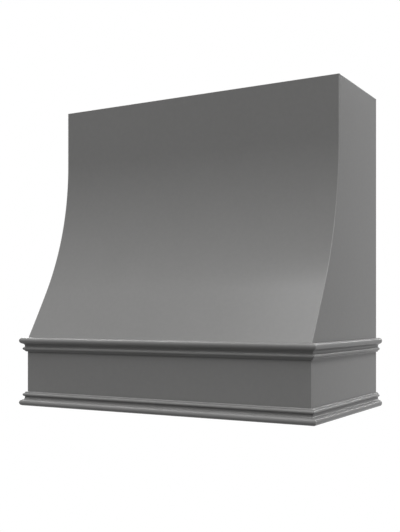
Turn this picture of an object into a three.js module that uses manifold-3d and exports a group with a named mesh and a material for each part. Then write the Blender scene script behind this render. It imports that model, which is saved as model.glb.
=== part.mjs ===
// Wooden range hood cover with a curved front, a plain band and two mitred trims. It hangs on a
// French cleat: the wall half is screwed to the studs, and the hood lifts off it.
// Millimetres. +X is to the viewer's right, +Y goes into the wall and +Z is up. The origin is the
// centre of the bottom of the whole part. In the code below y is measured back from the face of
// the band, and the outermost group moves that face to its place in the part's frame.

import * as THREE from "three";
import { mergeVertices } from "three/addons/utils/BufferGeometryUtils.js";
import Module from "manifold-3d";

// ---- Driving dimensions ----

// The body without its trims. The front leans back by the set-back on its way up.
const bodyWidth = 914;
const bodyHeight = 914;
const topDepth = 311;
const setback = 191;

// The front's section: a straight sloping foot, then an arc that ends upright under the top.
const slopeAngle = THREE.MathUtils.degToRad(30.6);
const footLength = 150;

// Panels and boards.
const sideThickness = 18;
const skinThickness = 9;
const apronThickness = 18;
const railThickness = 18;
const topRailHeight = 90;
const bellyRailDrop = 50;
const hangingRailHeight = 120;
const lowerRailHeight = 90;
const formerThickness = 18;
const formerDepth = 75;
const formerArmHeight = 60;

// The ledge under which the ventilation insert is screwed.
const ledgerWidth = 38;
const ledgerHeight = 32;
const ledgerRecess = 19;
const blockLeg = 36;

// The French cleat. Its bevels are at 45 degrees.
const cleatThickness = 18;
const cleatHeight = 70;
const cleatEndGap = 80;
const cleatTopGap = 14;
const studSpacing = 406;

// The trims: one moulding, nose up on the upper trim and nose down on the lower one. From the
// nose it runs over a quirk and a cove to a neck, a bead and a square fillet.
const upperTrimTop = 203;
const apronDrop = 4;
const trimProjection = 18;
const noseRadius = 8.7;
const quirkStep = 1.5;
const quirkHeight = 1.3;
const coveRadius = 6.1;
const neckHeight = 3.6;
const beadRadius = 4.7;
const filletProjection = 3;
const filletHeight = 3.4;

// Screws: countersunk ones, and pan-headed ones in angled pockets.
const shankRadius = 2.1;
const tipLength = 6;
const countersunkRadius = 4.2;
const countersunkDepth = 3;
const panRadius = 4.4;
const panDepth = 2.6;
const driveSize = 2.4;
const driveDepth = 1.8;
const pocketRadius = 4.8;
const pocketAngle = THREE.MathUtils.degToRad(15);
const pocketSeat = 18;
const pocketLength = 60;
const pocketInset = 22;
const bellyPocketInset = 18;
const shortScrew = 32;
const longScrew = 50;
const ledgerScrewEndGap = 95;
const cleatScrewEndGap = 45;
const mountHoleRadius = 3.2;
const mountHeadRadius = 6.5;
const mountHeadDepth = 4;

// Clearances: a glue line, the cleat's running clearance, a mitre, a drilled hole, and how far a
// cutter runs past the face that it enters.
const glueGap = 0.3;
const cleatRunning = 0.7;
const mitreGap = 0.45;
const drillClearance = 0.3;
const overcut = 1;

// How finely the round shapes are stepped.
const sweepSteps = 20;
const noseSteps = 10;
const coveSteps = 5;
const beadSteps = 8;
const screwSides = 12;

// ---- Sizes that follow from them ----

const bodyDepth = topDepth + setback;
const frontPlane = (trimProjection - bodyDepth) / 2;
const insideHalf = bodyWidth / 2 - sideThickness;
const boardHalf = insideHalf - glueGap;
const apronTop = upperTrimTop - apronDrop;
const apronBack = apronThickness + glueGap;
const skinSeat = skinThickness + glueGap;
const bellyBottom = apronTop - bellyRailDrop;
const bellyBack = apronBack + railThickness;
const topRailFront = setback + skinSeat;
const topRailBack = topRailFront + railThickness;
const topRailBottom = bodyHeight - topRailHeight;
const hangingBack = bodyDepth - cleatThickness - cleatRunning;
const hangingFront = hangingBack - railThickness;
const lowerRailFront = bodyDepth - railThickness;
const ledgerTop = ledgerRecess + ledgerHeight;
const ledgerMiddle = ledgerRecess + ledgerHeight / 2;
const frontLedgerBack = apronBack + ledgerWidth;
const backLedgerBack = lowerRailFront - glueGap;
const backLedgerFront = backLedgerBack - ledgerWidth;
const cleatHalf = insideHalf - cleatEndGap;
const cleatPoint = bodyHeight - cleatTopGap - cleatHeight;

// ---- Solids ----

const wasm = await Module();
wasm.setup();

function solidOf(geometry) {
  const bare = geometry.clone();
  bare.deleteAttribute("normal");
  bare.deleteAttribute("uv");
  const merged = mergeVertices(bare, 1e-4);
  return new wasm.Manifold(
    new wasm.Mesh({
      numProp: 3,
      vertProperties: merged.attributes.position.array,
      triVerts: new Uint32Array(merged.index.array),
    }),
  );
}

function geometryOf(solid) {
  const mesh = solid.getMesh();
  const geometry = new THREE.BufferGeometry();
  geometry.setAttribute("position", new THREE.BufferAttribute(mesh.vertProperties, 3));
  geometry.setIndex(new THREE.BufferAttribute(mesh.triVerts, 1));
  geometry.computeVertexNormals();
  return geometry;
}

// Takes cutters, given in the hood's own frame, out of a placed mesh.
function drill(mesh, cutters) {
  mesh.updateMatrix();
  const toLocal = mesh.matrix.clone().invert();
  let solid = solidOf(mesh.geometry);
  for (const cutter of cutters) {
    solid = solid.subtract(solidOf(cutter.clone().applyMatrix4(toLocal)));
  }
  mesh.geometry = geometryOf(solid);
}

// ---- Finishes ----

const finishes = {
  lacquer: { color: 0x6f6f6d, roughness: 0.42, metalness: 0 },
  plywood: { color: 0xd2b48a, roughness: 0.7, metalness: 0 },
  poplar: { color: 0xcbb68e, roughness: 0.72, metalness: 0 },
  zinc: { color: 0xb9b7a8, roughness: 0.35, metalness: 1 },
};

const placed = new Map();

function addMesh(group, name, geometry, finish) {
  const mesh = new THREE.Mesh(geometry, new THREE.MeshStandardMaterial(finishes[finish]));
  mesh.name = name;
  group.add(mesh);
  placed.set(name, mesh);
  return mesh;
}

// A square-edged board between two corners.
function addBoard(group, name, finish, low, high) {
  const size = high.map((value, i) => value - low[i]);
  const mesh = addMesh(group, name, new THREE.BoxGeometry(...size), finish);
  mesh.position.set(...low.map((value, i) => value + size[i] / 2));
  return mesh;
}

// An outline of [y, z] points extruded along X, from a mesh placed at its low X end.
const acrossX = new THREE.Matrix4().makeBasis(
  new THREE.Vector3(0, 1, 0),
  new THREE.Vector3(0, 0, 1),
  new THREE.Vector3(1, 0, 0),
);

function extrudeOutline(outline, length) {
  const shape = new THREE.Shape(outline.map(([a, b]) => new THREE.Vector2(a, b)));
  return new THREE.ExtrudeGeometry(shape, { depth: length, bevelEnabled: false });
}

function addSection(group, name, finish, outline, lowX, highX) {
  const geometry = extrudeOutline(outline, highX - lowX).applyMatrix4(acrossX);
  const mesh = addMesh(group, name, geometry, finish);
  mesh.position.x = lowX;
  return mesh;
}

// ---- The front's section ----

// The foot starts at the apron's top edge, flush with its face. Its height where the section,
// moved back by offset, stands at depth y:
function footHeightAt(offset, y) {
  return apronTop + (y - offset / Math.cos(slopeAngle)) / Math.tan(slopeAngle);
}

// Points of the section, moved back by offset, from the height high down to the height low.
function sweepPoints(offset, high, low) {
  const rise = footLength * Math.cos(slopeAngle);
  const run = footLength * Math.sin(slopeAngle);
  const sweepRadius = (setback - run) / (1 - Math.cos(slopeAngle));
  const arcTop = apronTop + rise + sweepRadius * Math.sin(slopeAngle);
  const centre = setback - sweepRadius;
  const radius = sweepRadius + offset;
  const first = Math.asin(THREE.MathUtils.clamp((arcTop - high) / radius, 0, 1));
  const points = high > arcTop ? [[setback + offset, high]] : [];
  for (let i = 0; i <= sweepSteps; i++) {
    const angle = first + ((slopeAngle - first) * i) / sweepSteps;
    points.push([centre + radius * Math.cos(angle), arcTop - radius * Math.sin(angle)]);
  }
  const [endY, endZ] = points[points.length - 1];
  points.push([endY - (endZ - low) * Math.tan(slopeAngle), low]);
  return points;
}

// ---- Shell: what shows from the front ----

function buildShell(group) {
  const skinBottom = apronTop + glueGap;
  const sideOutline = [
    [apronBack, 0],
    [bodyDepth, 0],
    [bodyDepth, bodyHeight],
    ...sweepPoints(skinSeat, bodyHeight, skinBottom),
    [apronBack, skinBottom],
  ];
  const half = bodyWidth / 2;
  addSection(group, "left_side_panel", "lacquer", sideOutline, -half, -insideHalf);
  addSection(group, "right_side_panel", "lacquer", sideOutline, insideHalf, half);

  const skinOutline = [
    ...sweepPoints(skinThickness, bodyHeight, skinBottom),
    ...sweepPoints(0, bodyHeight, skinBottom).reverse(),
  ];
  addSection(group, "curved_front_panel", "lacquer", skinOutline.reverse(), -half, half);
  addBoard(group, "front_apron", "lacquer", [-half, 0, 0], [half, apronThickness, apronTop]);
}

// ---- Frame: rails and curved formers that the skin is glued to ----

function buildFrame(group) {
  const bellyOutline = [
    [apronBack, bellyBottom],
    [bellyBack, bellyBottom],
    [bellyBack, footHeightAt(skinSeat, bellyBack)],
    [apronBack, footHeightAt(skinSeat, apronBack)],
  ];
  addSection(group, "belly_rail", "poplar", bellyOutline, -boardHalf, boardHalf);
  addBoard(
    group,
    "top_front_rail",
    "poplar",
    [-boardHalf, topRailFront, topRailBottom],
    [boardHalf, topRailBack, bodyHeight],
  );
  addBoard(
    group,
    "hanging_rail",
    "poplar",
    [-boardHalf, hangingFront, bodyHeight - hangingRailHeight],
    [boardHalf, hangingBack, bodyHeight],
  );
  addBoard(
    group,
    "lower_back_rail",
    "poplar",
    [-boardHalf, lowerRailFront, ledgerRecess],
    [boardHalf, bodyDepth, ledgerRecess + lowerRailHeight],
  );

  // A former stands behind the belly rail, follows the skin, is notched for the top rail and
  // reaches back along the top to the hanging rail.
  const footFront = bellyBack + glueGap;
  const notchBottom = topRailBottom - glueGap;
  const armBottom = bodyHeight - formerArmHeight;
  const backOffset = skinSeat + formerDepth;
  const formerOutline = [
    [topRailBack + glueGap, bodyHeight],
    [topRailBack + glueGap, notchBottom],
    ...sweepPoints(skinSeat, notchBottom, footHeightAt(skinSeat, footFront)),
    [footFront, bellyBottom],
    ...sweepPoints(backOffset, armBottom, bellyBottom).reverse(),
    [hangingFront - glueGap, armBottom],
    [hangingFront - glueGap, bodyHeight],
  ];
  for (const [name, middle] of formerPlaces()) {
    const low = middle - formerThickness / 2;
    addSection(group, name, "plywood", formerOutline, low, low + formerThickness);
  }
}

// The formers stand at the thirds of the inside width.
function formerPlaces() {
  const place = insideHalf / 3;
  return [
    ["former_left", -place],
    ["former_right", place],
  ];
}

// ---- Ledge: the frame that the ventilation insert is screwed to, and its glue blocks ----

function buildLedge(group) {
  addBoard(
    group,
    "front_ledger",
    "poplar",
    [-boardHalf, apronBack, ledgerRecess],
    [boardHalf, frontLedgerBack, ledgerTop],
  );
  addBoard(
    group,
    "back_ledger",
    "poplar",
    [-boardHalf, backLedgerFront, ledgerRecess],
    [boardHalf, backLedgerBack, ledgerTop],
  );
  const sideStart = frontLedgerBack + glueGap;
  const sideEnd = backLedgerFront - glueGap;
  const innerEdge = boardHalf - ledgerWidth;
  addBoard(
    group,
    "left_ledger",
    "poplar",
    [-boardHalf, sideStart, ledgerRecess],
    [-innerEdge, sideEnd, ledgerTop],
  );
  addBoard(
    group,
    "right_ledger",
    "poplar",
    [innerEdge, sideStart, ledgerRecess],
    [boardHalf, sideEnd, ledgerTop],
  );

  // Glue blocks stand on the ledgers in the four corners.
  const blockBottom = ledgerTop + glueGap;
  const railTop = ledgerRecess + lowerRailHeight;
  const corners = [
    ["front_left_block", -1, apronBack, 1, bellyBottom - glueGap],
    ["front_right_block", 1, apronBack, 1, bellyBottom - glueGap],
    ["back_left_block", -1, backLedgerBack, -1, railTop],
    ["back_right_block", 1, backLedgerBack, -1, railTop],
  ];
  for (const [name, side, cornerY, inward, top] of corners) {
    const cornerX = side * boardHalf;
    const outline = [
      [0, 0],
      [-side * blockLeg, 0],
      [0, inward * blockLeg],
    ];
    const turned = side * inward > 0 ? outline.reverse() : outline;
    const block = addMesh(group, name, extrudeOutline(turned, top - blockBottom), "poplar");
    block.position.set(cornerX, cornerY, blockBottom);
  }
}

// ---- Trims ----

// [projection, distance from the nose end] round the moulding's section. The nose turns under as
// far as the quirk, and the cove runs from the quirk's other corner to the neck.
function trimSection() {
  const noseCentre = trimProjection - noseRadius;
  const noseSweep = Math.PI - Math.asin(quirkStep / noseRadius);
  const quirkProjection = noseCentre + quirkStep;
  const quirkStart = noseRadius * (1 - Math.cos(noseSweep));
  const coveEnd = quirkStart + quirkHeight + coveRadius;
  const neckProjection = quirkProjection - coveRadius;
  const beadCentre = coveEnd + neckHeight + beadRadius;
  const trimHeight = beadCentre + beadRadius + filletHeight;
  const right = Math.PI / 2;
  return [
    [glueGap, 0],
    ...arcPoints([noseCentre, noseRadius], noseRadius, [0, noseSweep], noseSteps),
    ...arcPoints([quirkProjection, coveEnd], coveRadius, [0, -right], coveSteps),
    ...arcPoints([neckProjection, beadCentre], beadRadius, [0, 2 * right], beadSteps),
    [filletProjection, trimHeight - filletHeight],
    [filletProjection, trimHeight],
    [glueGap, trimHeight],
  ];
}

// Points round a centre, with angles from the nose end's direction.
function arcPoints([centreP, centreH], radius, [from, to], steps) {
  return Array.from({ length: steps + 1 }, (_, i) => {
    const angle = from + ((to - from) * i) / steps;
    return [centreP + radius * Math.sin(angle), centreH - radius * Math.cos(angle)];
  });
}

// A length of moulding. ends(p) gives where it starts and stops at the projection p, heightOf(h)
// its level, and place(along, p, z) the point in the hood's frame.
function addTrim(group, name, ends, heightOf, place) {
  const section = trimSection();
  const geometry = extrudeOutline(section, 1);
  const position = geometry.attributes.position;
  const point = new THREE.Vector3();
  for (let i = 0; i < position.count; i++) {
    point.fromBufferAttribute(position, i);
    const [start, stop] = ends(point.x);
    const along = point.z > 0.5 ? stop : start;
    position.setXYZ(i, ...place(along, point.x, heightOf(point.y)));
  }
  const solid = solidOf(geometry);
  const outward = solid.volume() > 0 ? geometry : turnedOver(geometry);
  outward.computeVertexNormals();
  addMesh(group, name, outward, "lacquer");
}

// The same triangles facing the other way, which a mirrored placing needs.
function turnedOver(geometry) {
  const loose = geometry.index ? geometry.toNonIndexed() : geometry;
  const position = loose.attributes.position;
  const a = new THREE.Vector3();
  const b = new THREE.Vector3();
  for (let i = 0; i < position.count; i += 3) {
    a.fromBufferAttribute(position, i);
    b.fromBufferAttribute(position, i + 1);
    position.setXYZ(i, b.x, b.y, b.z);
    position.setXYZ(i + 1, a.x, a.y, a.z);
  }
  return loose;
}

function buildTrims(group) {
  const half = bodyWidth / 2;
  const levels = [
    ["upper_trim", (h) => upperTrimTop - h],
    ["lower_trim", (h) => h],
  ];
  for (const [name, heightOf] of levels) {
    const frontEnds = (p) => [-(half + p - mitreGap), half + p - mitreGap];
    addTrim(group, `${name}_front`, frontEnds, heightOf, (x, p, z) => [x, -p, z]);
    for (const [side, sign] of [
      ["left", -1],
      ["right", 1],
    ]) {
      const sideEnds = (p) => [-p, bodyDepth];
      const place = (y, p, z) => [sign * (half + p), y, z];
      addTrim(group, `${name}_${side}`, sideEnds, heightOf, place);
    }
  }
}

// ---- Cleats ----

function buildCleats(hoodGroup, wallGroup) {
  const hookFront = hangingBack + glueGap;
  const hookBack = hookFront + cleatThickness;
  const hookOutline = [
    [hookBack, cleatPoint],
    [hookBack, cleatPoint + cleatHeight],
    [hookFront, cleatPoint + cleatHeight],
    [hookFront, cleatPoint + cleatThickness],
  ];
  addSection(hoodGroup, "hood_cleat", "poplar", hookOutline, -cleatHalf, cleatHalf);

  // The wall half's bevel lies a glue gap under the hood half's.
  const wallFront = bodyDepth - cleatThickness;
  const bevelAt = (y) => cleatPoint + hookBack - y - glueGap * Math.SQRT2;
  const wallBottom = bevelAt(wallFront) - cleatHeight;
  const wallOutline = [
    [wallFront, wallBottom],
    [bodyDepth, wallBottom],
    [bodyDepth, bevelAt(bodyDepth)],
    [wallFront, bevelAt(wallFront)],
  ];
  const wall = addSection(wallGroup, "wall_cleat", "poplar", wallOutline, -cleatHalf, cleatHalf);
  const middle = (wallBottom + bevelAt(bodyDepth)) / 2;
  drill(wall, mountHoles(wallFront, middle));
  const freeHeight = (ledgerTop + ledgerRecess + lowerRailHeight) / 2;
  drill(placed.get("lower_back_rail"), mountHoles(lowerRailFront, freeHeight));
}

// Countersunk holes at half the stud spacing, from the face at depth y to the wall.
function mountHoles(y, z) {
  const outside = bodyDepth - y + overcut;
  const profile = [
    [0, -overcut],
    [mountHeadRadius, -overcut],
    [mountHeadRadius, 0],
    [mountHoleRadius, mountHeadDepth],
    [mountHoleRadius, outside],
    [0, outside],
  ];
  const into = new THREE.Vector3(0, 1, 0);
  return [-1, 0, 1].map((i) =>
    alongAxis(turned(profile), new THREE.Vector3((i * studSpacing) / 2, y, z), into),
  );
}

// ---- Screws ----

// A [radius, distance] profile turned about +Y.
function turned(profile) {
  return new THREE.LatheGeometry(
    profile.map(([r, s]) => new THREE.Vector2(r, s)),
    screwSides,
  );
}

// Turns a shape made along +Y to point along direction from origin.
function alongAxis(geometry, origin, direction) {
  const turn = new THREE.Quaternion().setFromUnitVectors(new THREE.Vector3(0, 1, 0), direction);
  return geometry.applyQuaternion(turn).translate(origin.x, origin.y, origin.z);
}

function screwProfile(length, head, grow) {
  const tip = length - tipLength;
  return [
    [0, 0],
    ...head.map(([r, s]) => [r + grow, s + (s > 0 ? grow : 0)]),
    [shankRadius + grow, tip],
    [0, length + 2 * grow],
  ];
}

const countersunkHead = [
  [countersunkRadius, 0],
  [shankRadius, countersunkDepth],
];
const panHead = [
  [panRadius, 0],
  [panRadius, panDepth],
  [shankRadius, panDepth],
];

function screwShape(length, head) {
  const body = solidOf(turned(screwProfile(length, head, 0)));
  const drive = new THREE.BoxGeometry(driveSize, 2 * driveDepth, driveSize);
  return geometryOf(body.subtract(solidOf(drive)));
}

// The hole for a screw: its own shape with clearance, and a mouth of the given radius and length.
function screwHole(length, head, mouthRadius, mouthLength) {
  const hole = solidOf(turned(screwProfile(length, head, drillClearance)));
  const mouth = new THREE.CylinderGeometry(mouthRadius, mouthRadius, mouthLength, screwSides);
  mouth.translate(0, drillClearance - mouthLength / 2, 0);
  return geometryOf(hole.add(solidOf(mouth)));
}

// Adds a screw at origin along direction, and drills the boards that it passes through.
function addScrew(group, name, spec, origin, direction, boards) {
  const screw = addMesh(group, name, screwShape(spec.length, spec.head), "zinc");
  screw.quaternion.setFromUnitVectors(new THREE.Vector3(0, 1, 0), direction);
  screw.position.copy(origin);
  const hole = screwHole(spec.length, spec.head, spec.mouthRadius, spec.mouthLength);
  const cutter = alongAxis(hole, origin, direction);
  for (const board of boards) {
    drill(placed.get(board), [cutter]);
  }
}

const pocketScrew = {
  length: shortScrew,
  head: panHead,
  mouthRadius: pocketRadius,
  mouthLength: pocketLength,
};
const shortCountersunk = {
  length: shortScrew,
  head: countersunkHead,
  mouthRadius: countersunkRadius + drillClearance,
  mouthLength: overcut,
};
const longCountersunk = { ...shortCountersunk, length: longScrew };

// Pocket screws join the ends of a rail to the side panels, from the face that looks at the wall.
function addPocketScrews(group, rail, middleY, heights) {
  for (const [side, sign] of [
    ["left", -1],
    ["right", 1],
  ]) {
    heights.forEach((z, i) => {
      const direction = new THREE.Vector3(
        sign * Math.cos(pocketAngle),
        -Math.sin(pocketAngle),
        0,
      );
      const end = new THREE.Vector3(sign * boardHalf, middleY, z);
      const origin = end.addScaledVector(direction, -pocketSeat);
      const name = `${rail}_screw_${side}_${i + 1}`;
      addScrew(group, name, pocketScrew, origin, direction, [rail, `${side}_side_panel`]);
    });
  }
}

function buildScrews(group) {
  addPocketScrews(group, "top_front_rail", topRailFront + railThickness / 2, [
    topRailBottom + pocketInset,
    bodyHeight - pocketInset,
  ]);
  addPocketScrews(group, "hanging_rail", hangingFront + railThickness / 2, [
    bodyHeight - hangingRailHeight + pocketInset,
    bodyHeight - pocketInset,
  ]);
  addPocketScrews(group, "lower_back_rail", lowerRailFront + railThickness / 2, [
    ledgerRecess + pocketInset,
    ledgerRecess + lowerRailHeight - pocketInset,
  ]);
  addPocketScrews(group, "belly_rail", apronBack + railThickness / 2, [
    bellyBottom + bellyPocketInset,
  ]);

  // Ledger screws, from the open side of each ledger into the board behind it.
  const ledgerScrewX = boardHalf - ledgerScrewEndGap;
  for (const [i, x] of [-ledgerScrewX, 0, ledgerScrewX].entries()) {
    addScrew(
      group,
      `front_ledger_screw_${i + 1}`,
      longCountersunk,
      new THREE.Vector3(x, frontLedgerBack, ledgerMiddle),
      new THREE.Vector3(0, -1, 0),
      ["front_ledger", "front_apron"],
    );
    addScrew(
      group,
      `back_ledger_screw_${i + 1}`,
      longCountersunk,
      new THREE.Vector3(x, backLedgerFront, ledgerMiddle),
      new THREE.Vector3(0, 1, 0),
      ["back_ledger", "lower_back_rail"],
    );
  }
  for (const [side, sign] of [
    ["left", -1],
    ["right", 1],
  ]) {
    const ends = [frontLedgerBack + ledgerScrewEndGap, backLedgerFront - ledgerScrewEndGap];
    ends.forEach((y, i) => {
      addScrew(
        group,
        `${side}_ledger_screw_${i + 1}`,
        longCountersunk,
        new THREE.Vector3(sign * (boardHalf - ledgerWidth), y, ledgerMiddle),
        new THREE.Vector3(sign, 0, 0),
        [`${side}_ledger`, `${side}_side_panel`],
      );
    });
  }

  // The hood's half of the cleat is screwed on through the hanging rail.
  const cleatMiddle = cleatPoint + (cleatThickness + cleatHeight) / 2;
  const outer = cleatHalf - cleatScrewEndGap;
  for (const [i, x] of [-outer, -outer / 3, outer / 3, outer].entries()) {
    addScrew(
      group,
      `hood_cleat_screw_${i + 1}`,
      shortCountersunk,
      new THREE.Vector3(x, hangingFront, cleatMiddle),
      new THREE.Vector3(0, 1, 0),
      ["hanging_rail", "hood_cleat"],
    );
  }

  // Each former is screwed on through the top rail and through the hanging rail.
  for (const [name, x] of formerPlaces()) {
    const height = bodyHeight - formerArmHeight / 2;
    addScrew(
      group,
      `${name}_screw_front`,
      longCountersunk,
      new THREE.Vector3(x, topRailFront, height),
      new THREE.Vector3(0, 1, 0),
      ["top_front_rail", name],
    );
    addScrew(
      group,
      `${name}_screw_back`,
      longCountersunk,
      new THREE.Vector3(x, hangingBack, height),
      new THREE.Vector3(0, -1, 0),
      ["hanging_rail", name],
    );
  }
}

// ---- Assembly ----

const cover = new THREE.Group();
cover.position.y = frontPlane;
const hood = new THREE.Group();
const wallSide = new THREE.Group();
cover.add(hood, wallSide);

for (const build of [buildShell, buildFrame, buildLedge, buildTrims]) {
  const group = new THREE.Group();
  hood.add(group);
  build(group);
}
buildCleats(hood, wallSide);
const screws = new THREE.Group();
hood.add(screws);
buildScrews(screws);

export default cover;
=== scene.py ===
import math

import bmesh
import bpy
from mathutils import Matrix, Vector


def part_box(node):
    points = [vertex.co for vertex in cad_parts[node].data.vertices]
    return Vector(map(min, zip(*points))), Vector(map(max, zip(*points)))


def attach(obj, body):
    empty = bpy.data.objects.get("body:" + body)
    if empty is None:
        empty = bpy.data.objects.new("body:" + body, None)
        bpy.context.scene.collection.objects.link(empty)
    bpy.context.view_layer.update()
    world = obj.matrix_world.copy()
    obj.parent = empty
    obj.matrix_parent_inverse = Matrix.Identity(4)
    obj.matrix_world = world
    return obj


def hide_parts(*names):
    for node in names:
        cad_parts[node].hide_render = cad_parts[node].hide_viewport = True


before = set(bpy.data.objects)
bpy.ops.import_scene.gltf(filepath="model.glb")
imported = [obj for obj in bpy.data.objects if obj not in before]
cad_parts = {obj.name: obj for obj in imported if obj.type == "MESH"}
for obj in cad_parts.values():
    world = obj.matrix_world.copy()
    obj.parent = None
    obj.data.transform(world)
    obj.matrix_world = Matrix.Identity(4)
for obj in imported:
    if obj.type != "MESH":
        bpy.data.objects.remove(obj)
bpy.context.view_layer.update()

print("frame loaded:", len(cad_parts), "nodes")


# Places that several pieces share, read from the frame. Metres, +Y into the wall, +Z up.
sideLow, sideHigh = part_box("right_side_panel")
apronLow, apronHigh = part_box("front_apron")
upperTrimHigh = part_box("upper_trim_right")[1]

halfWidth = sideHigh.x
insideX = sideLow.x
wallY = sideHigh.y
topZ = sideHigh.z
bandY = apronLow.y
apronBack = apronHigh.y
apronTop = apronHigh.z


# the photograph's viewpoint: level, below the middle of the hood, with the lens shifted up
cameraSetup = {
    "place": (1.2468, -2.1697, 0.2763),
    "turnLeft": 29.863,
    "sensorWidth": 36,
    "lens": 56.785,
    "shiftUp": 0.0887,
}


def addCamera(setup):
    data = bpy.data.cameras.new("camera")
    data.sensor_width = setup["sensorWidth"]
    data.lens = setup["lens"]
    data.shift_y = setup["shiftUp"]
    camera = bpy.data.objects.new("camera", data)
    camera.location = setup["place"]
    camera.rotation_euler = (math.pi / 2, 0, math.radians(setup["turnLeft"]))
    bpy.context.scene.collection.objects.link(camera)
    bpy.context.scene.camera = camera


# soft boxes far away: azimuth is degrees from straight in front towards the right side,
# spread is how wide the box looks from the hood
lampSetups = {
    "frontLeft": {"azimuth": -35, "elevation": 60, "spread": 20, "strength": 0.46},
    "frontGleam": {"azimuth": -40, "elevation": 60, "spread": 6, "strength": 0.29},
    "frontTop": {"azimuth": -46, "elevation": 68, "spread": 8, "strength": 0.25},
    "frontRight": {"azimuth": 30, "elevation": 45, "spread": 20, "strength": 1.30},
    "farLeft": {"azimuth": -84, "elevation": 55, "spread": 12, "strength": 0.76},
    "farRight": {"azimuth": 80, "elevation": 60, "spread": 20, "strength": 1.27},
    "backLeft": {"azimuth": -140, "elevation": 25, "spread": 20, "strength": 1.10},
    "backHigh": {"azimuth": 170, "elevation": 45, "spread": 14, "strength": 0.40},
    "rim": {"azimuth": 169, "elevation": 20, "spread": 4, "strength": 0.095},
}


def addLamp(name, setup):
    data = bpy.data.lights.new(name, "SUN")
    data.angle = math.radians(setup["spread"])
    data.energy = setup["strength"]
    turn, rise = math.radians(setup["azimuth"]), math.radians(setup["elevation"])
    towards = Vector((math.sin(turn) * math.cos(rise), -math.cos(turn) * math.cos(rise),
                      math.sin(rise)))
    lamp = bpy.data.objects.new(name, data)
    lamp.rotation_euler = towards.to_track_quat("Z", "Y").to_euler()
    bpy.context.scene.collection.objects.link(lamp)


def fillInputs(tree, node, inputs):
    # a link or a value for each input named
    for key, value in inputs.items():
        if isinstance(value, bpy.types.NodeSocket):
            tree.links.new(value, node.inputs[key])
        else:
            node.inputs[key].default_value = value


def addNode(tree, kind, inputs=None, **options):
    node = tree.nodes.new(kind)
    for key, value in options.items():
        setattr(node, key, value)
    fillInputs(tree, node, inputs or {})
    return node


def calculate(tree, operation, *values):
    inputs = dict(enumerate(values))
    return addNode(tree, "ShaderNodeMath", inputs, operation=operation).outputs[0]


def remap(tree, value, ends, low, high, course="LINEAR"):
    # runs from low to high while the value goes from one end to the other
    inputs = {"Value": value, "From Min": ends[0], "From Max": ends[1],
              "To Min": low, "To Max": high}
    return addNode(tree, "ShaderNodeMapRange", inputs, interpolation_type=course).outputs[0]


def mixShaders(tree, factor, first, second):
    return addNode(tree, "ShaderNodeMixShader", {0: factor, 1: first, 2: second}).outputs[0]


def seenDirectly(tree):
    # 1 for rays from the camera, and for those that gloss and glass send on
    rays = addNode(tree, "ShaderNodeLightPath").outputs
    either = calculate(tree, "MAXIMUM", rays["Is Camera Ray"], rays["Is Glossy Ray"])
    return calculate(tree, "MAXIMUM", either, rays["Is Transmission Ray"])


studio = {
    "ambient": 0.06,
    "floorZ": -1.65,
    "floorSize": 14,
    "floorTone": 0.80,  # as it is seen
    "bounceTone": 0.22,  # as it lights the hood
    "floorRoughness": 0.9,
    "shadowShare": 0.35,  # how much of the floor's own shading shows near the hood
    "shadowReach": 2.2,  # metres from the middle to where the floor is plain white
    "white": (1, 1, 1, 1),
}


def addWorld(setup):
    world = bpy.data.worlds.new("studio")
    world.use_nodes = True
    tree = world.node_tree
    light = tree.nodes["Background"]
    fillInputs(tree, light, {"Color": setup["white"], "Strength": setup["ambient"]})
    white = addNode(tree, "ShaderNodeBackground", {"Color": setup["white"], "Strength": 1})
    surface = mixShaders(tree, seenDirectly(tree), light.outputs[0], white.outputs[0])
    tree.links.new(surface, tree.nodes["World Output"].inputs["Surface"])
    bpy.context.scene.world = world


def floorMaterial(setup):
    # a pale matt floor that fades into the white room away from the hood's shadow
    material = bpy.data.materials.new("paleFloor")
    material.use_nodes = True
    tree = material.node_tree
    shader = tree.nodes["Principled BSDF"]
    tone = remap(tree, seenDirectly(tree), (0, 1), setup["bounceTone"], setup["floorTone"])
    fillInputs(tree, shader, {"Base Color": tone, "Roughness": setup["floorRoughness"],
               "Specular IOR Level": 0})
    glow = addNode(tree, "ShaderNodeEmission", {"Color": setup["white"], "Strength": 1})
    place = addNode(tree, "ShaderNodeTexCoord").outputs["Object"]
    flat = addNode(tree, "ShaderNodeVectorMath", {0: place, 1: (1, 1, 0)},
                   operation="MULTIPLY").outputs[0]
    reach = addNode(tree, "ShaderNodeVectorMath", {0: flat},
                    operation="LENGTH").outputs["Value"]
    fade = remap(tree, reach, (setup["shadowReach"] / 2, setup["shadowReach"]),
                 1 - setup["shadowShare"], 1, "SMOOTHSTEP")
    glowShare = calculate(tree, "MULTIPLY", seenDirectly(tree), fade)
    surface = mixShaders(tree, glowShare, shader.outputs[0], glow.outputs[0])
    tree.links.new(surface, tree.nodes["Material Output"].inputs["Surface"])
    return material


def addFloor(setup):
    # far below the hood, which hangs over a range
    bm = bmesh.new()
    bmesh.ops.create_grid(bm, x_segments=1, y_segments=1, size=setup["floorSize"] / 2)
    bmesh.ops.translate(bm, verts=bm.verts, vec=(0, 0, setup["floorZ"]))
    mesh = bpy.data.meshes.new("floor")
    bm.to_mesh(mesh)
    bm.free()
    mesh.materials.append(floorMaterial(setup))
    floor = bpy.data.objects.new("floor", mesh)
    bpy.context.scene.collection.objects.link(floor)


addCamera(cameraSetup)
for lampName, lampSetup in lampSetups.items():
    addLamp(lampName, lampSetup)
addWorld(studio)
addFloor(studio)
bpy.context.scene.view_settings.view_transform = "Standard"
print("camera, lamps and floor placed")


noiseEnds = (0.3, 0.7)  # most of a noise's values lie between these


def startMaterial(name):
    material = bpy.data.materials.new(name)
    material.use_nodes = True
    tree = material.node_tree
    place = addNode(tree, "ShaderNodeTexCoord").outputs["Object"]
    return material, tree, tree.nodes["Principled BSDF"], place


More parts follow.
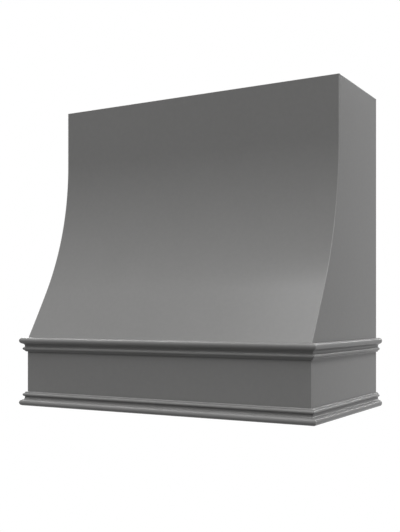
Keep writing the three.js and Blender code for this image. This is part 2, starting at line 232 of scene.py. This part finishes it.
def noise(tree, vector, scale, detail=2.0, roughness=0.5):
    return addNode(tree, "ShaderNodeTexNoise", {"Vector": vector, "Scale": scale,
                   "Detail": detail, "Roughness": roughness}).outputs["Fac"]


def swing(tree, value, reach):
    # a noise turned into a drift of up to reach metres to either side
    return remap(tree, value, noiseEnds, -reach, reach)


def grainwise(tree, place, along, scales):
    # coordinates with one scale along the grain and another across it
    scale = tuple(scales["along"] if axis == along else scales["across"] for axis in "XYZ")
    return addNode(tree, "ShaderNodeMapping", {"Vector": place, "Scale": scale}).outputs[0]


def ramp(tree, factor, stops, palette, interpolation="LINEAR"):
    # each stop is a position and the name of a colour in the palette
    node = addNode(tree, "ShaderNodeValToRGB", {"Fac": factor})
    node.color_ramp.interpolation = interpolation
    elements = node.color_ramp.elements
    while len(elements) < len(stops):
        elements.new(0.5)
    for element, (position, colorName) in zip(elements, stops):
        element.position = position
        element.color = (*palette[colorName], 1)
    return node.outputs["Color"]


def blend(tree, factor, first, second, kind="MIX"):
    return addNode(tree, "ShaderNodeMix", {0: factor, 6: first, 7: second},
                   data_type="RGBA", blend_type=kind).outputs[2]


def bump(tree, height, distance, under=None):
    inputs = {"Height": height, "Distance": distance}
    if under is not None:
        inputs["Normal"] = under
    return addNode(tree, "ShaderNodeBump", inputs).outputs[0]


lacquer = {
    "light": (0.2070, 0.2063, 0.2038),
    "dark": (0.2010, 0.2003, 0.1978),
    "clouds": {"scale": 5.0, "detail": 3.0},
    "cloudStops": ((0.3, "dark"), (0.7, "light")),
    "mottle": {"scale": 85.0, "detail": 3.0},
    "mottleStops": ((0.35, "mottleDark"), (0.65, "mottleLight")),
    "mottleDark": (0.14, 0.14, 0.14),
    "mottleLight": (0.34, 0.34, 0.33),
    "mottleShare": 0.025,
    "roughness": (0.24, 0.27),
    "specular": 0.17,
    "swell": {"scale": 11, "detail": 1.0},
    "swellHeight": 0.00006,
    "peel": {"scale": 620},
    "peelHeight": 0.000010,
}
# lacquer for the arris bevels: its lift paints a highlight line along them, its specular gives
# a little more gloss
arrisHighlight = {"lift": 1.4, "specular": 0.2}


def greyLacquer(name, lift, specular):
    # sprayed satin paint: orange peel, slow swells of the board under it, faint cloudiness; a
    # lift over 1 lightens the colour into a painted highlight
    material, tree, shader, place = startMaterial(name)
    clouds = noise(tree, place, **lacquer["clouds"])
    mottle = noise(tree, place, **lacquer["mottle"])
    lifted = {tone: [lift * value for value in lacquer[tone]] for tone in ("dark", "light")}
    color = ramp(tree, clouds, lacquer["cloudStops"], lifted)
    specks = ramp(tree, mottle, lacquer["mottleStops"], lacquer)
    swell = bump(tree, noise(tree, place, **lacquer["swell"]), lacquer["swellHeight"])
    peel = bump(tree, noise(tree, place, **lacquer["peel"]), lacquer["peelHeight"], swell)
    fillInputs(tree, shader, {
        "Base Color": blend(tree, lacquer["mottleShare"], color, specks),
        "Roughness": remap(tree, mottle, noiseEnds, *lacquer["roughness"]),
        "Specular IOR Level": specular,
        "Normal": peel})
    return material


bareWood = {
    "specular": 0.3,
    "mistFull": 0.004,  # heights over the bottom edge, where the overspray starts to fade
    "mistGone": 0.026,  # and where it ends
    "waver": {"scale": 9.0},
    "waverReach": 0.003,
    "speckle": {"scale": 520.0, "detail": 3.0, "roughness": 0.7},
    "speckleReach": 0.004,
}


def finishWood(tree, shader, place, color, roughness, height, depth):
    # bare wood with a mist of the paint fading up from the bottom edge
    rise = addNode(tree, "ShaderNodeSeparateXYZ", {0: place}).outputs["Z"]
    waver = swing(tree, noise(tree, place, **bareWood["waver"]), bareWood["waverReach"])
    speckle = swing(tree, noise(tree, place, **bareWood["speckle"]), bareWood["speckleReach"])
    level = calculate(tree, "ADD", calculate(tree, "ADD", rise, waver), speckle)
    mist = remap(tree, level, (bareWood["mistFull"], bareWood["mistGone"]), 1, 0,
                 "SMOOTHSTEP")
    fillInputs(tree, shader, {
        "Base Color": blend(tree, mist, color, (*lacquer["light"], 1)),
        "Roughness": roughness,
        "Specular IOR Level": bareWood["specular"],
        "Normal": bump(tree, height, depth)})


birch = {
    "pale": (0.68, 0.52, 0.33),
    "tan": (0.56, 0.40, 0.23),
    "pore": (0.36, 0.23, 0.12),
    "glue": (0.20, 0.12, 0.06),
    "figureScales": {"along": 1.0, "across": 9.0},
    "figure": {"scale": 2.2, "detail": 5.0, "roughness": 0.62},
    "figureStops": ((0.32, "tan"), (0.5, "pale"), (0.58, "tan"), (0.7, "pale")),
    "fibreScales": {"along": 14.0, "across": 420.0},
    "fibre": {"scale": 1.0, "detail": 3.0, "roughness": 0.6},
    "poreStops": ((0.30, "pore"), (0.42, "pale")),
    "poreShare": 0.30,
    "faceRoughness": (0.58, 0.74),
    "faceDepth": 0.00012,
}


def birchFace(name, along):
    # rotary-cut veneer with its grain along one axis
    material, tree, shader, place = startMaterial(name)
    lengthwise = grainwise(tree, place, along, birch["figureScales"])
    figure = noise(tree, lengthwise, **birch["figure"])
    fibre = noise(tree, grainwise(tree, place, along, birch["fibreScales"]), **birch["fibre"])
    color = blend(tree, birch["poreShare"], ramp(tree, figure, birch["figureStops"], birch),
                  ramp(tree, fibre, birch["poreStops"], birch), "MULTIPLY")
    roughness = remap(tree, fibre, noiseEnds, *birch["faceRoughness"])
    finishWood(tree, shader, place, color, roughness, fibre, birch["faceDepth"])
    return material


plies = {
    "thickness": 0.001385,
    "stops": ((0.0, "glue"), (0.05, "pale"), (0.48, "glue"), (0.53, "tan")),  # over two plies
    "waver": {"scale": 60.0},
    "waverReach": 0.00012,
    "specks": {"scale": 900.0, "roughness": 0.7},
    "speckStops": ((0.35, "pore"), (0.6, "pale")),
    "speckShare": 0.35,
    "roughness": (0.62, 0.8),
    "depth": 0.0001,
}


def birchEdge(name, across, start):
    # sawn edge of plywood: pale and dark plies by turns, a dark glue line between them
    material, tree, shader, place = startMaterial(name)
    through = addNode(tree, "ShaderNodeSeparateXYZ", {0: place}).outputs[across]
    waver = swing(tree, noise(tree, place, **plies["waver"]), plies["waverReach"])
    depthIn = calculate(tree, "SUBTRACT", calculate(tree, "ADD", through, waver), start)
    pairs = calculate(tree, "DIVIDE", depthIn, 2 * plies["thickness"])
    layers = ramp(tree, calculate(tree, "FRACT", pairs), plies["stops"], birch, "CONSTANT")
    specks = noise(tree, place, **plies["specks"])
    color = blend(tree, plies["speckShare"], layers,
                  ramp(tree, specks, plies["speckStops"], birch), "MULTIPLY")
    roughness = remap(tree, specks, noiseEnds, *plies["roughness"])
    finishWood(tree, shader, place, color, roughness, specks, plies["depth"])
    return material


poplar = {
    "pale": (0.66, 0.55, 0.36),
    "band": (0.53, 0.44, 0.26),
    "streak": (0.42, 0.38, 0.22),
    "pore": (0.40, 0.30, 0.17),
    "figureScales": {"along": 0.10, "across": 1.0},
    "rings": {"Scale": 16.0, "Distortion": 2.4, "Detail": 3.0, "Detail Scale": 1.4,
              "Detail Roughness": 0.6},
    "ringStops": ((0.0, "pale"), (0.75, "band"), (1.0, "pale")),
    "streaks": {"scale": 22.0, "detail": 3.0},
    "streakEnds": (0.55, 0.8),
    "streakShare": 0.6,
    "fibreScales": {"along": 9.0, "across": 380.0},
    "fibre": {"scale": 1.0, "detail": 3.0, "roughness": 0.6},
    "poreStops": ((0.3, "pore"), (0.45, "pale")),
    "poreShare": 0.28,
    "roughness": (0.55, 0.72),
    "depth": 0.0001,
}


def poplarBoard(name, along, pith):
    # planed board sawn beside the pith: rings on its ends, long figure on its faces
    material, tree, shader, place = startMaterial(name)
    fromPith = addNode(tree, "ShaderNodeVectorMath", {0: place, 1: pith},
                       operation="SUBTRACT").outputs[0]
    rings = addNode(tree, "ShaderNodeTexWave", {
        "Vector": grainwise(tree, fromPith, along, poplar["figureScales"]), **poplar["rings"]},
        wave_type="RINGS", rings_direction=along, wave_profile="SAW").outputs["Fac"]
    streaks = noise(tree, grainwise(tree, fromPith, along, poplar["figureScales"]),
                    **poplar["streaks"])
    fibre = noise(tree, grainwise(tree, place, along, poplar["fibreScales"]),
                  **poplar["fibre"])
    streaky = remap(tree, streaks, poplar["streakEnds"], 0, poplar["streakShare"])
    color = blend(tree, streaky, ramp(tree, rings, poplar["ringStops"], poplar),
                  (*poplar["streak"], 1))
    color = blend(tree, poplar["poreShare"], color,
                  ramp(tree, fibre, poplar["poreStops"], poplar), "MULTIPLY")
    roughness = remap(tree, fibre, noiseEnds, *poplar["roughness"])
    finishWood(tree, shader, place, color, roughness, fibre, poplar["depth"])
    return material


zinc = {
    "bright": (0.74, 0.71, 0.60),
    "dull": (0.52, 0.48, 0.38),
    "cloud": {"scale": 260.0, "detail": 4.0, "roughness": 0.65},
    "cloudStops": ((0.35, "dull"), (0.6, "bright")),
    "roughness": (0.46, 0.26),
    "grit": {"scale": 1800.0},
    "gritHeight": 0.00002,
}


def zincPlate():
    # yellowish plating that is cloudy and a little gritty
    material, tree, shader, place = startMaterial("zincPlate")
    cloud = noise(tree, place, **zinc["cloud"])
    fillInputs(tree, shader, {
        "Base Color": ramp(tree, cloud, zinc["cloudStops"], zinc),
        "Roughness": remap(tree, cloud, noiseEnds, *zinc["roughness"]),
        "Metallic": 1,
        "Normal": bump(tree, noise(tree, place, **zinc["grit"]), zinc["gritHeight"])})
    return material


paint = greyLacquer("greyLacquer", 1.0, lacquer["specular"])
# the arrises' lacquer, lightened to paint a highlight line along them
highlightLacquer = greyLacquer("rubbedLacquer", arrisHighlight["lift"], arrisHighlight["specular"])
zincMaterial = zincPlate()
print("shared materials made")


# how far a face's normal lies along an axis, when the face is taken to look that way
squarely, mainly = 0.9, 0.5
smoothUnder = 35  # degrees, the sharpest edge that is shaded smooth


def pick(geom, kind):
    return [item for item in geom if isinstance(item, kind)]


def startAt(bm, point):
    return bmesh.ops.create_vert(bm, co=point)["vert"][0]


def drawTo(bm, vert, target):
    # a new vertex at target, joined to vert by an edge
    new = bmesh.ops.extrude_vert_indiv(bm, verts=[vert])["verts"][0]
    new.co = target
    return new


def turnFrom(bm, vert, centre, axis, angle, steps):
    # an arc from vert about centre, which returns its last vertex
    made = bmesh.ops.spin(bm, geom=[vert], cent=centre, axis=axis, angle=angle, steps=steps)
    return pick(made["geom_last"], bmesh.types.BMVert)[0]


def joinUp(bm, first, second):
    bmesh.ops.contextual_create(bm, geom=[first, second])


def faceOutwards(bm):
    bmesh.ops.recalc_face_normals(bm, faces=bm.faces[:])
    bm.normal_update()


def fillAndExtrude(bm, run):
    # the closed outline becomes a face, and the face a solid
    bmesh.ops.edgeloop_fill(bm, edges=bm.edges[:])
    made = bmesh.ops.extrude_face_region(bm, geom=bm.faces[:])["geom"]
    bmesh.ops.translate(bm, verts=pick(made, bmesh.types.BMVert), vec=run)
    faceOutwards(bm)


def hasFace(edge, test):
    return any(test(face.normal) for face in edge.link_faces)


def isEndArris(edge):
    # a corner between the front and an end
    return (hasFace(edge, lambda normal: normal.y < -mainly)
            and hasFace(edge, lambda normal: abs(normal.x) > squarely))


def sharpEdges(bm, wanted, least=30):
    # the wanted edges among those that turn by more than least degrees
    return [edge for edge in bm.edges if len(edge.link_faces) == 2
            and edge.calc_face_angle() > math.radians(least) and wanted(edge)]


def ease(bm, edges, width, segments=2, material=-1):
    bmesh.ops.bevel(bm, geom=edges, offset=width, segments=segments, profile=0.5,
                    affect="EDGES", offset_type="OFFSET", material=material,
                    clamp_overlap=True)


def coat(bm, index, test):
    # faces whose normal passes the test take the piece's material of that index
    for face in bm.faces:
        if test(face.normal):
            face.material_index = index


def mergedCopy(node, within):
    # a CAD mesh is loose triangles, so a copy of it is merged
    bm = bmesh.new()
    bm.from_mesh(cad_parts[node].data)
    bmesh.ops.remove_doubles(bm, verts=bm.verts[:], dist=within)
    return bm


def addPiece(name, bm, materials, node, body="hood"):
    mesh = bpy.data.meshes.new(name)
    bm.to_mesh(mesh)
    bm.free()
    for material in materials:
        mesh.materials.append(material)
    mesh.polygons.foreach_set("use_smooth", [True] * len(mesh.polygons))
    mesh.set_sharp_from_angle(angle=math.radians(smoothUnder))
    piece = bpy.data.objects.new(name, mesh)
    bpy.context.scene.collection.objects.link(piece)
    weighted = piece.modifiers.new("flatFaces", "WEIGHTED_NORMAL")
    weighted.keep_sharp = True
    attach(piece, body)
    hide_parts(node)


frontSweep = {
    "setback": 0.191,
    "footLength": 0.165,
    "footStart": math.radians(29.5),
    "footEnd": math.radians(31.7),
    "thickness": 0.0083,
    "arcSteps": 64,
    "footSteps": 12,
    "arris": 0.0020,
    "arrisSegments": 4,
    "topEase": 0.0006,
}


def sweepDown(bm, x, offset, top):
    # the front's section from the top to the apron's top edge, moved back by offset:
    # upright, then the long arc, then a foot that is bent only a little more
    start, end = frontSweep["footStart"], frontSweep["footEnd"]
    footRadius = frontSweep["footLength"] / (end - start)
    run = footRadius * (math.cos(start) - math.cos(end))
    radius = (frontSweep["setback"] - run) / (1 - math.cos(start))
    footCentre = Vector((x, bandY - footRadius * math.cos(end),
                         apronTop + footRadius * math.sin(end)))
    arcTop = footCentre.z + (radius - footRadius) * math.sin(start)
    upright = bandY + frontSweep["setback"]
    first = startAt(bm, (x, upright + offset, top))
    last = drawTo(bm, first, (x, upright + offset, arcTop))
    last = turnFrom(bm, last, (x, upright - radius, arcTop), (1, 0, 0), -start,
                    frontSweep["arcSteps"])
    reach = math.asin((footCentre.z - apronTop) / (footRadius + offset))
    return first, turnFrom(bm, last, footCentre, (1, 0, 0), start - reach,
                           frontSweep["footSteps"])


def isTopFront(edge):
    return (hasFace(edge, lambda normal: normal.y < -mainly)
            and hasFace(edge, lambda normal: normal.z > squarely))


def makeCurvedFront(setup):
    bm = bmesh.new()
    outerTop, outerFoot = sweepDown(bm, -halfWidth, 0, topZ)
    innerTop, innerFoot = sweepDown(bm, -halfWidth, setup["thickness"], topZ)
    joinUp(bm, outerTop, innerTop)
    joinUp(bm, outerFoot, innerFoot)
    fillAndExtrude(bm, (2 * halfWidth, 0, 0))
    coat(bm, 1, lambda normal: normal.y > mainly)
    coat(bm, 2, lambda normal: normal.z > squarely)
    # the long corners first, because the top's small edges would hold their width back
    # the arris bevels take material 3, the lighter lacquer that paints a highlight line
    ease(bm, sharpEdges(bm, isEndArris), setup["arris"], setup["arrisSegments"], material=3)
    ease(bm, sharpEdges(bm, isTopFront), setup["topEase"])
    addPiece("curvedFront", bm, [paint, birchFace("bendingPlyFace", "X"),
             birchEdge("bendingPlyEdge", "Y", bandY + setup["setback"]), highlightLacquer],
             "curved_front_panel")


makeCurvedFront(frontSweep)
print("curved front made")


sidePanel = {"ease": 0.0006}


def makeSidePanel(setup, side, sign):
    outer, inner = sign * halfWidth, sign * insideX
    bm = bmesh.new()
    top, vert = sweepDown(bm, inner, frontSweep["thickness"], topZ)
    for y, z in ((apronBack, apronTop), (apronBack, 0), (wallY, 0), (wallY, topZ)):
        vert = drawTo(bm, vert, (inner, y, z))
    joinUp(bm, vert, top)
    fillAndExtrude(bm, (outer - inner, 0, 0))
    coat(bm, 1, lambda normal: normal.x * sign < -mainly)
    coat(bm, 2, lambda normal: normal.z > squarely or normal.y > squarely)

    def isOuterEdge(edge):
        return (hasFace(edge, lambda normal: normal.x * sign > squarely)
                and hasFace(edge, lambda normal: normal.y > squarely
                            or abs(normal.z) > squarely))

    ease(bm, sharpEdges(bm, isOuterEdge), setup["ease"])
    addPiece(f"{side}Side", bm, [paint, birchFace(f"{side}SideFace", "Z"),
             birchEdge(f"{side}SideEdge", "X", min(inner, outer))],
             f"{side}_side_panel")


for side, sign in (("left", -1), ("right", 1)):
    makeSidePanel(sidePanel, side, sign)
print("side panels made")


apron = {"arris": 0.0014, "arrisSegments": 4}


def makeApron(setup):
    bm = bmesh.new()
    first = vert = startAt(bm, (-halfWidth, bandY, 0))
    for y, z in ((apronBack, 0), (apronBack, apronTop), (bandY, apronTop)):
        vert = drawTo(bm, vert, (-halfWidth, y, z))
    joinUp(bm, vert, first)
    fillAndExtrude(bm, (2 * halfWidth, 0, 0))
    coat(bm, 1, lambda normal: normal.y > squarely)
    # the arris bevels take material 2, the lighter lacquer that paints a highlight line
    ease(bm, sharpEdges(bm, isEndArris), setup["arris"], setup["arrisSegments"], material=2)
    addPiece("apron", bm, [paint, birchFace("apronFace", "X"), highlightLacquer],
             "front_apron")


makeApron(apron)
print("apron made")


moulding = {
    "projection": upperTrimHigh.x - halfWidth,
    "height": 0.0416,
    "noseRadius": 0.0089,
    "quirkStep": 0.0015,
    "quirkHeight": 0.0010,
    "coveRadius": 0.0048,
    "neckHeight": 0.0044,
    "beadRadius": 0.0047,
    "filletRound": 0.0040,
    "noseSteps": 24,
    "coveSteps": 10,
    "beadSteps": 18,
    "filletSteps": 6,
    "ease": 0.00035,
    "easedOver": 40,  # degrees, so the arcs' own edges stay as they are
    "runOver": 0.03,  # spare length, which the mitres cut off
    "pith": (0.1, 0, 0.03),
}


def drawMoulding(bm, setup, scribe):
    # section in the XZ plane: X is the projection, Z the distance from the nose end
    noseCentre = setup["projection"] - setup["noseRadius"]
    noseTurn = math.pi - math.asin(setup["quirkStep"] / setup["noseRadius"])
    first = startAt(bm, (-scribe, 0, 0))
    vert = drawTo(bm, first, (noseCentre, 0, 0))
    vert = turnFrom(bm, vert, (noseCentre, 0, setup["noseRadius"]), (0, 1, 0), -noseTurn,
                    setup["noseSteps"])
    vert = drawTo(bm, vert, vert.co + Vector((0, 0, setup["quirkHeight"])))
    centre = vert.co + Vector((0, 0, setup["coveRadius"]))
    vert = turnFrom(bm, vert, centre, (0, 1, 0), math.pi / 2, setup["coveSteps"])
    vert = drawTo(bm, vert, vert.co + Vector((0, 0, setup["neckHeight"])))
    centre = vert.co + Vector((0, 0, setup["beadRadius"]))
    vert = turnFrom(bm, vert, centre, (0, 1, 0), -math.pi, setup["beadSteps"])
    fillet = setup["filletRound"]
    vert = drawTo(bm, vert, (vert.co.x, 0, setup["height"] - fillet))
    centre = vert.co - Vector((fillet, 0, 0))
    vert = turnFrom(bm, vert, centre, (0, 1, 0), -math.pi / 2, setup["filletSteps"])
    vert = drawTo(bm, vert, (0, 0, setup["height"]))
    if scribe:
        vert = drawTo(bm, vert, (0, 0, scribe / math.tan(frontSweep["footEnd"])))
    joinUp(bm, vert, first)


def mitre(bm, y, way):
    # cuts off at 45 degrees what lies beyond y, and closes the cut
    cut = bmesh.ops.bisect_plane(bm, geom=bm.verts[:] + bm.edges[:] + bm.faces[:],
                                 plane_co=(0, y, 0), plane_no=(-1, way, 0),
                                 clear_outer=True)
    bmesh.ops.edgeloop_fill(bm, edges=pick(cut["geom_cut"], bmesh.types.BMEdge))


def makeMoulding(setup, level, run, noseEnd):
    # drawn and run along Y, mitred, then turned to its place
    over = setup["runOver"]
    flip = -1 if level == "upper" else 1  # the upper one has its nose on top
    scribe = 0.0
    if run == "front":
        start, length = -halfWidth - over, 2 * (halfWidth + over)
        mitres = ((halfWidth, 1), (-halfWidth, -1))
        place = Matrix(((0, 1, 0, 0), (-1, 0, 0, bandY), (0, 0, flip, noseEnd),
                        (0, 0, 0, 1)))
        if level == "upper":
            scribe = (noseEnd - apronTop) * math.tan(frontSweep["footEnd"])
    else:
        sign = -1 if run == "left" else 1
        start, length = bandY - over, wallY - bandY + over
        mitres = ((bandY, -1),)
        place = Matrix(((sign, 0, 0, sign * halfWidth), (0, 1, 0, 0),
                        (0, 0, flip, noseEnd), (0, 0, 0, 1)))

    def isLongEdge(edge):
        return abs(edge.verts[0].co.y - edge.verts[1].co.y) > over

    bm = bmesh.new()
    drawMoulding(bm, setup, scribe)
    bmesh.ops.translate(bm, verts=bm.verts[:], vec=(0, start, 0))
    fillAndExtrude(bm, (0, length, 0))
    ease(bm, sharpEdges(bm, isLongEdge, setup["easedOver"]), setup["ease"])
    for y, way in mitres:
        mitre(bm, y, way)
    bmesh.ops.transform(bm, matrix=place, verts=bm.verts[:])
    faceOutwards(bm)
    if run != "front":
        coat(bm, 1, lambda normal: normal.y > squarely)
    addPiece(f"{level}Moulding{run.capitalize()}", bm,
             [paint, poplarBoard(f"{level}{run}EndGrain", "Y", setup["pith"])],
             f"{level}_trim_{run}")


for level, noseEnd in (("upper", upperTrimHigh.z), ("lower", 0.0)):
    for run in ("front", "left", "right"):
        makeMoulding(moulding, level, run, noseEnd)
print("mouldings made")


def camelName(node):
    first, *rest = node.split("_")
    return first + "".join(word.capitalize() for word in rest)


boards = {
    "mergeWithin": 0.00002,
    "flatWithin": 0.5,  # degrees
    "shortest": 0.012,  # the least length of an edge that is eased
    "ease": 0.0008,
    "pithAside": 0.07,
    "pithTurn": 1.7,  # radians from one board's pith to the next one's
    "veneerOver": 0.8,  # how far a former's face looks along X where it shows the veneer
}
grainAxes = {
    "top_front_rail": "X", "hanging_rail": "X", "lower_back_rail": "X", "belly_rail": "X",
    "front_ledger": "X", "back_ledger": "X", "left_ledger": "Y", "right_ledger": "Y",
    "front_left_block": "Z", "front_right_block": "Z",
    "back_left_block": "Z", "back_right_block": "Z",
    "hood_cleat": "X", "wall_cleat": "X",
}


def easedCopy(node, setup):
    # a merged copy of the board, with its long edges eased
    bm = mergedCopy(node, setup["mergeWithin"])
    bmesh.ops.dissolve_limit(bm, angle_limit=math.radians(setup["flatWithin"]),
                             verts=bm.verts[:], edges=bm.edges[:])
    bm.normal_update()
    longOnes = sharpEdges(bm, lambda edge: edge.calc_length() > setup["shortest"])
    ease(bm, longOnes, setup["ease"])
    return bm


def makePoplarBoards(setup):
    for count, (node, along) in enumerate(sorted(grainAxes.items())):
        low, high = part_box(node)
        turn = setup["pithTurn"] * count
        aside = Vector((math.cos(turn), math.sin(turn), math.cos(turn + 1)))
        pith = (low + high) / 2 + aside * setup["pithAside"]
        body = "wall_side" if node == "wall_cleat" else "hood"
        addPiece(camelName(node), easedCopy(node, setup),
                 [poplarBoard(f"{camelName(node)}Wood", along, pith)], node, body)


def makeFormers(setup):
    for node in ("former_left", "former_right"):
        bm = easedCopy(node, setup)
        coat(bm, 1, lambda normal: abs(normal.x) < setup["veneerOver"])
        addPiece(camelName(node), bm, [birchFace(f"{camelName(node)}Face", "Z"),
                 birchEdge(f"{camelName(node)}Edge", "X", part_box(node)[0].x)],
                 node)


makePoplarBoards(boards)
makeFormers(boards)
print("boards made")


screws = {"mergeWithin": 0.00001}


def makeScrews(setup):
    for node in sorted(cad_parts):
        if "_screw_" in node:
            addPiece(camelName(node), mergedCopy(node, setup["mergeWithin"]),
                     [zincMaterial], node)


makeScrews(screws)
print("screws made")
